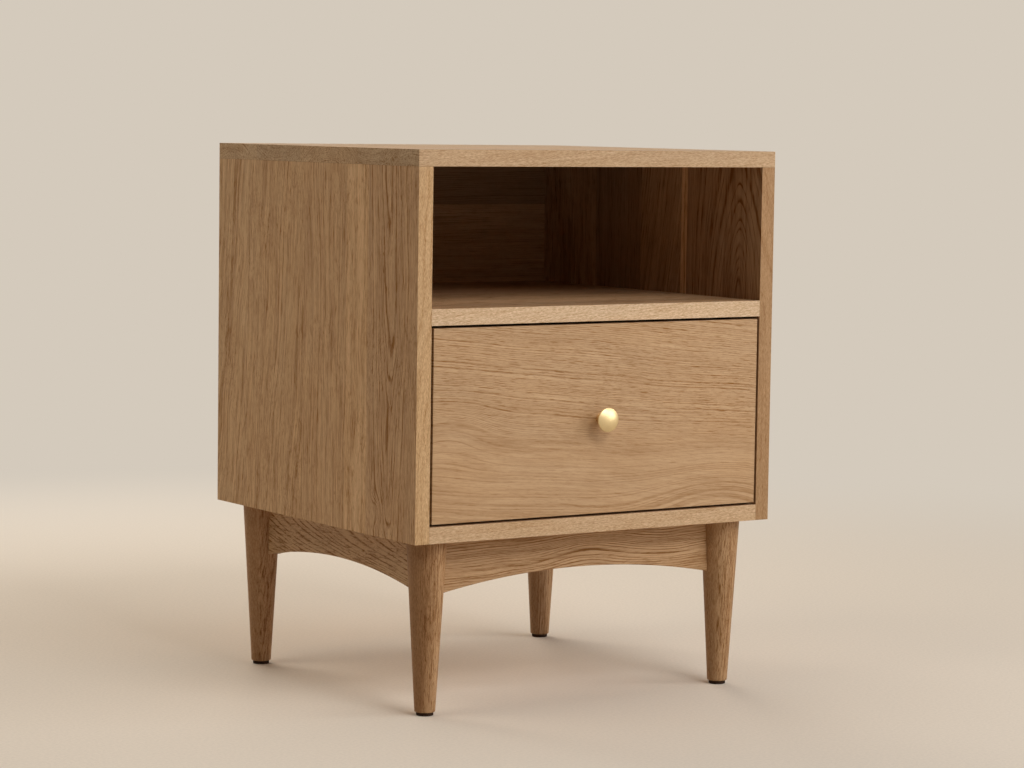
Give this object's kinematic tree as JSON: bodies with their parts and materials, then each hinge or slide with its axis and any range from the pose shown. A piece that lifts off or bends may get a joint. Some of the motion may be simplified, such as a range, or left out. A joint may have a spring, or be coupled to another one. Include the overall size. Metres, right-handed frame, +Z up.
{
  "type": "nightstand",
  "caption": "Square oak nightstand: open compartment over an inset sliding drawer with a round brass knob, on tapered round legs joined by arched aprons.",
  "frame": {"origin": "on the floor, at the middle of the nightstand's outline, knob included", "axes": "+Z up, -Y towards the user in front of the drawer, +X to the right as seen from the front"},
  "size_m": [0.5, 0.492, 0.646],
  "materials": {
    "oak_case": "clear matt lacquer on solid oak",
    "oak_base": "clear matt lacquer on solid oak",
    "oak_thin_panel": "oak-faced thin panel, matt",
    "drawer_box_wood": "pale solid wood, matt",
    "joint_wood": "bare beech",
    "knob_brass": "satin brushed",
    "slide_steel": "zinc plated",
    "screw_steel": "zinc plated",
    "foot_pad": "dark brown, matt"
  },
  "bodies": {
    "case": {"top_panel": "oak_case", "left_side_panel": "oak_case", "right_side_panel": "oak_case", "shelf": "oak_case", "bottom_panel": "oak_case", "back_panel": "oak_thin_panel", "top_dowels": "joint_wood", "shelf_dowels": "joint_wood", "bottom_dowels": "joint_wood", "back_panel_screws": "screw_steel", "left_slide_case_member": "slide_steel", "right_slide_case_member": "slide_steel", "slide_case_screws": "screw_steel", "front_apron": "oak_base", "rear_apron": "oak_base", "left_apron": "oak_base", "right_apron": "oak_base", "apron_tenons": "joint_wood", "base_screws": "screw_steel", "pad_nails": "screw_steel", "front_left_leg": "oak_base", "front_left_pad": "foot_pad", "front_left_corner_block": "joint_wood", "front_right_leg": "oak_base", "front_right_pad": "foot_pad", "front_right_corner_block": "joint_wood", "rear_left_leg": "oak_base", "rear_left_pad": "foot_pad", "rear_left_corner_block": "joint_wood", "rear_right_leg": "oak_base", "rear_right_pad": "foot_pad", "rear_right_corner_block": "joint_wood"},
    "slide_middles": {"left_slide_middle_member": "slide_steel", "right_slide_middle_member": "slide_steel"},
    "drawer": {"drawer_front": "oak_case", "drawer_box_front": "drawer_box_wood", "drawer_back": "drawer_box_wood", "drawer_left_side": "drawer_box_wood", "drawer_right_side": "drawer_box_wood", "drawer_bottom": "oak_thin_panel", "drawer_box_dowels": "joint_wood", "drawer_front_screws": "screw_steel", "knob": "knob_brass", "knob_screw": "screw_steel", "left_slide_drawer_member": "slide_steel", "right_slide_drawer_member": "slide_steel", "slide_drawer_screws": "screw_steel"}
  },
  "joints": [
    {"name": "drawer_slide", "type": "slide", "parent": "case", "child": "drawer", "axis": [0, -1, 0], "range_m": [0, 0.4]},
    {"name": "slide_middle_travel", "type": "slide", "parent": "case", "child": "slide_middles", "axis": [0, -1, 0], "range_m": [0, 0.2]}
  ],
  "couplings": [
    {"joint": "slide_middle_travel", "follows": "drawer_slide", "ratio": 0.5}
  ]
}
